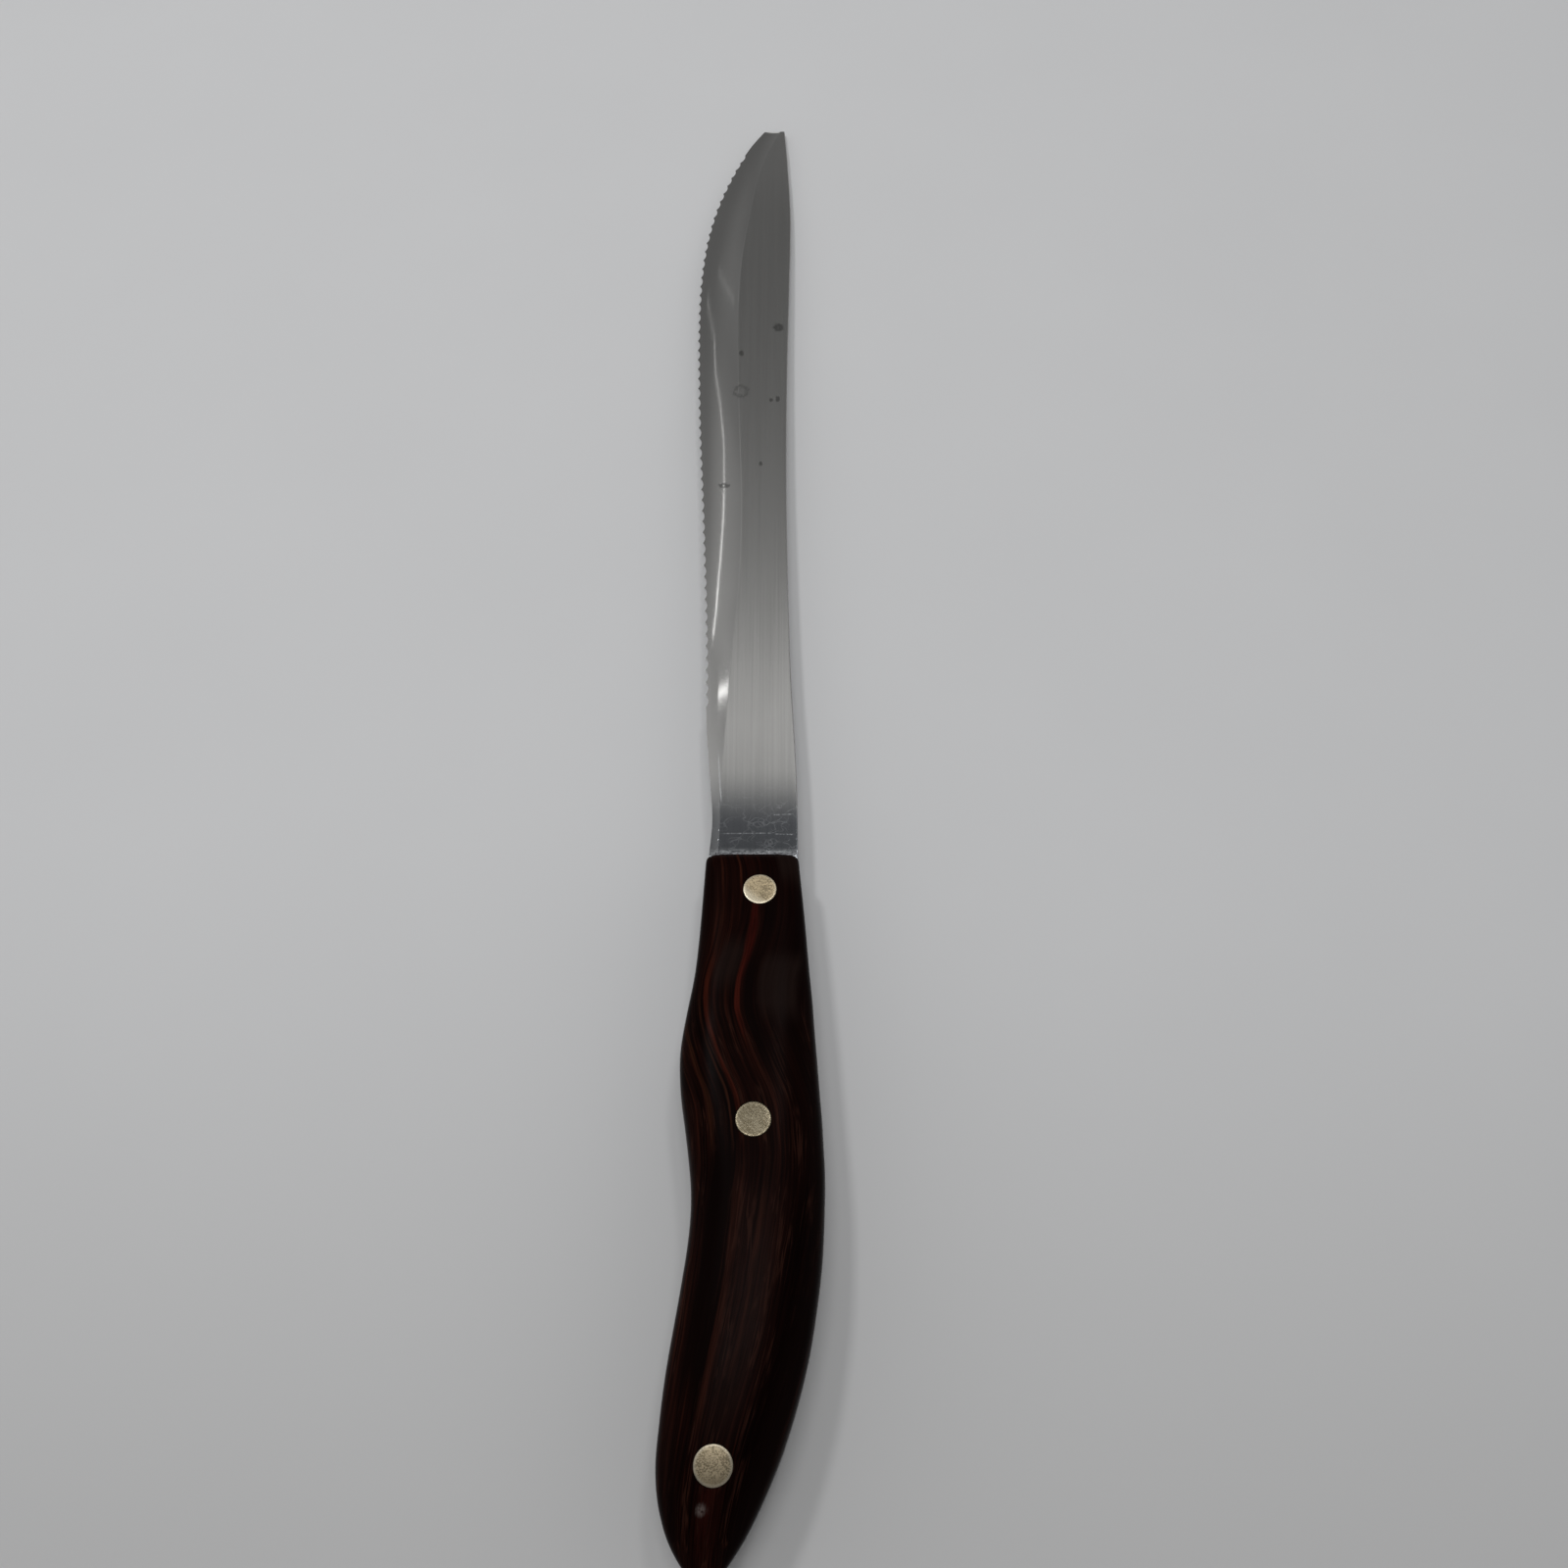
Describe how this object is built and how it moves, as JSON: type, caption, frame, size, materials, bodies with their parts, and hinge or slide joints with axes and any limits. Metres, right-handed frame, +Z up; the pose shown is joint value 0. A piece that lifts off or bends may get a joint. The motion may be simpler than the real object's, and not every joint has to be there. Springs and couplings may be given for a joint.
{
  "type": "steak knife",
  "caption": "Long serrated steak knife: hollow-ground, square-tipped blade with a full tang riveted between contoured wood-grain resin scales.",
  "frame": {"origin": "middle of the knife's footprint, on the surface that it lies on", "axes": "+Y along the blade to the tip, +X across to the spine, +Z up out of the knife's left side"},
  "size_m": [0.028, 0.34, 0.0174],
  "materials": {
    "blade_steel": "stainless steel, satin lines along the blade, brighter in the hollow grind",
    "grip_resin": "polished resin, marbled black, brown and red like wood grain",
    "rivet_metal": "nickel silver, ground flush, mottled patina"
  },
  "bodies": {
    "root": {"blade": "blade_steel", "left_scale": "grip_resin", "right_scale": "grip_resin", "front_rivet_stud": "rivet_metal", "front_rivet_socket": "rivet_metal", "middle_rivet_stud": "rivet_metal", "middle_rivet_socket": "rivet_metal", "rear_rivet_stud": "rivet_metal", "rear_rivet_socket": "rivet_metal"}
  },
  "joints": []
}
